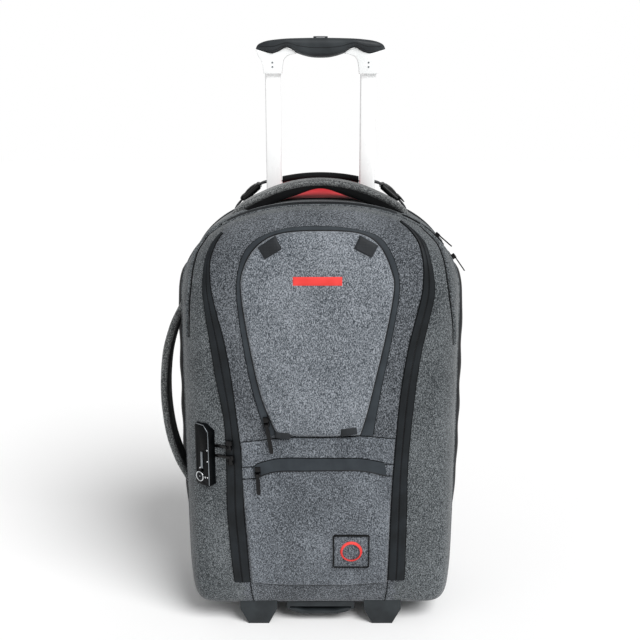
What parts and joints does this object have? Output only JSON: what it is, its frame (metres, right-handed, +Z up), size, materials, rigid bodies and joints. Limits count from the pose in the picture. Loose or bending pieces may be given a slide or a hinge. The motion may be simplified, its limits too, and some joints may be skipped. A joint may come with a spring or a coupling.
{
  "type": "wheeled backpack",
  "caption": "Carry-on size backpack with a telescopic trolley handle, rear wheels, front feet, padded shell, zipped front pockets, key lock and shoulder straps.",
  "frame": {"origin": "middle of the footprint's bounding box, on the floor", "axes": "+Z up, -Y towards the front pocket, +X to the right of someone who looks at the front"},
  "size_m": [0.3802, 0.2356, 0.7041],
  "materials": {
    "heather_cloth": "heathered grey polyester, plain weave, matt",
    "light_heather_cloth": "lighter heathered grey polyester, matt",
    "label_patch": "small stitched cloth square, matt",
    "black_cloth": "black polyester, matt",
    "back_mesh": "black spacer mesh over foam",
    "red_cloth": "red polyester, matt",
    "zip_tape": "coated black zip tape, slightly satin",
    "webbing": "black woven webbing with moulded buckles",
    "black_metal": "black lacquered cast zinc, glossy",
    "lock_case": "glossy black moulded case",
    "bright_metal": "bright plated key cylinder",
    "latch_metal": "grey satin latch",
    "white_tube": "white lacquered aluminium, satin",
    "plain_tube": "plain anodised aluminium",
    "white_plastic": "white moulded plastic",
    "grip_plastic": "black soft-touch moulding",
    "black_plastic": "black moulded plastic",
    "wheel_rubber": "black polyurethane tyre on a hub",
    "foot_rubber": "black moulded foot"
  },
  "bodies": {
    "bag": {"guide_tube_left": "black_plastic", "guide_tube_right": "black_plastic", "wheel_housing_left": "black_plastic", "foot_left": "foot_rubber", "wheel_housing_right": "black_plastic", "foot_right": "foot_rubber", "base_plate": "black_plastic", "bottom_handle": "black_plastic", "lock_housing": "lock_case", "gusset": "heather_cloth", "front_shell": "heather_cloth", "back_shell": "black_cloth", "front_pocket_zip": "zip_tape", "front_pocket": "light_heather_cloth", "lower_pocket": "heather_cloth", "lower_pocket_zip": "zip_tape", "main_zip_left": "zip_tape", "main_zip_right": "zip_tape", "main_zip_top": "zip_tape", "webbing_loop_upper_left": "webbing", "webbing_loop_upper_right": "webbing", "webbing_loop_lower_left": "webbing", "webbing_loop_lower_right": "webbing", "patch": "label_patch", "top_handle": "light_heather_cloth", "top_handle_lining": "black_cloth", "side_handle": "light_heather_cloth", "side_handle_lining": "black_cloth", "side_pocket_left": "black_cloth", "side_pocket_right": "black_cloth", "back_pad": "back_mesh", "yoke": "red_cloth", "yoke_binding": "black_cloth", "shoulder_strap_left": "black_cloth", "load_lifter_left": "webbing", "shoulder_strap_right": "black_cloth", "load_lifter_right": "webbing", "front_pocket_slider": "black_metal", "lower_pocket_slider": "black_metal", "rear_upper_slider": "black_metal", "rear_lower_slider": "black_metal", "main_upper_slider": "black_metal", "main_lower_slider": "black_metal"},
    "mid_stage": {"mid_tube_left": "plain_tube", "mid_tube_right": "plain_tube"},
    "grip_stage": {"grip_tube_left": "white_tube", "grip_tube_right": "white_tube", "grip_socket_left": "white_plastic", "grip_socket_right": "white_plastic", "handle_grip": "grip_plastic"},
    "push_button": {"grip_button": "grip_plastic"},
    "wheel_left_body": {"wheel_left": "wheel_rubber"},
    "wheel_right_body": {"wheel_right": "wheel_rubber"},
    "key_body": {"lock_cylinder": "bright_metal"},
    "latch_body": {"lock_latch": "latch_metal"},
    "front_pull_body": {"front_pocket_pull": "black_metal"},
    "lower_pull_body": {"lower_pocket_pull": "black_metal"},
    "rear_upper_pull_body": {"rear_upper_pull": "black_metal"},
    "rear_lower_pull_body": {"rear_lower_pull": "black_metal"}
  },
  "joints": [
    {"name": "mid_stage_slide", "type": "slide", "parent": "bag", "child": "mid_stage", "axis": [0, 0, 1], "range_m": [0, 0.17]},
    {"name": "grip_stage_slide", "type": "slide", "parent": "mid_stage", "child": "grip_stage", "axis": [0, 0, 1], "range_m": [-0.135, 0.13]},
    {"name": "grip_button_push", "type": "slide", "parent": "grip_stage", "child": "push_button", "axis": [0, 0, -1], "range_m": [0, 0.0025], "stiffness_N_per_m": 800, "springref_m": -0.001},
    {"name": "wheel_left_spin", "type": "hinge", "parent": "bag", "child": "wheel_left_body", "pos_m": [-0.11163, 0.05696, 0.031], "axis": [1, 0, 0], "continuous": true},
    {"name": "wheel_right_spin", "type": "hinge", "parent": "bag", "child": "wheel_right_body", "pos_m": [0.12837, 0.05696, 0.031], "axis": [1, 0, 0], "continuous": true},
    {"name": "key_turn", "type": "hinge", "parent": "bag", "child": "key_body", "pos_m": [-0.13429, -0.09682, 0.20042], "axis": [-0.6428, -0.766, 0], "range_deg": [0, 90]},
    {"name": "latch_slide", "type": "slide", "parent": "bag", "child": "latch_body", "axis": [0, 0, -1], "range_m": [0, 0.004], "stiffness_N_per_m": 300, "springref_m": -0.001},
    {"name": "front_pull_swing", "type": "hinge", "parent": "bag", "child": "front_pull_body", "pos_m": [-0.05384, -0.1129, 0.27104], "axis": [-0.9855, 0.062, -0.1577], "range_deg": [0, 150]},
    {"name": "lower_pull_swing", "type": "hinge", "parent": "bag", "child": "lower_pull_body", "pos_m": [-0.0651, -0.11303, 0.2094], "axis": [-0.9965, 0.0729, -0.0399], "range_deg": [0, 150]},
    {"name": "rear_upper_pull_swing", "type": "hinge", "parent": "bag", "child": "rear_upper_pull_body", "pos_m": [0.14552, -0.03904, 0.48016], "axis": [0, -1, 0], "range_deg": [0, 150]},
    {"name": "rear_lower_pull_swing", "type": "hinge", "parent": "bag", "child": "rear_lower_pull_body", "pos_m": [0.16558, -0.03904, 0.45471], "axis": [0, -1, 0], "range_deg": [0, 150]}
  ]
}
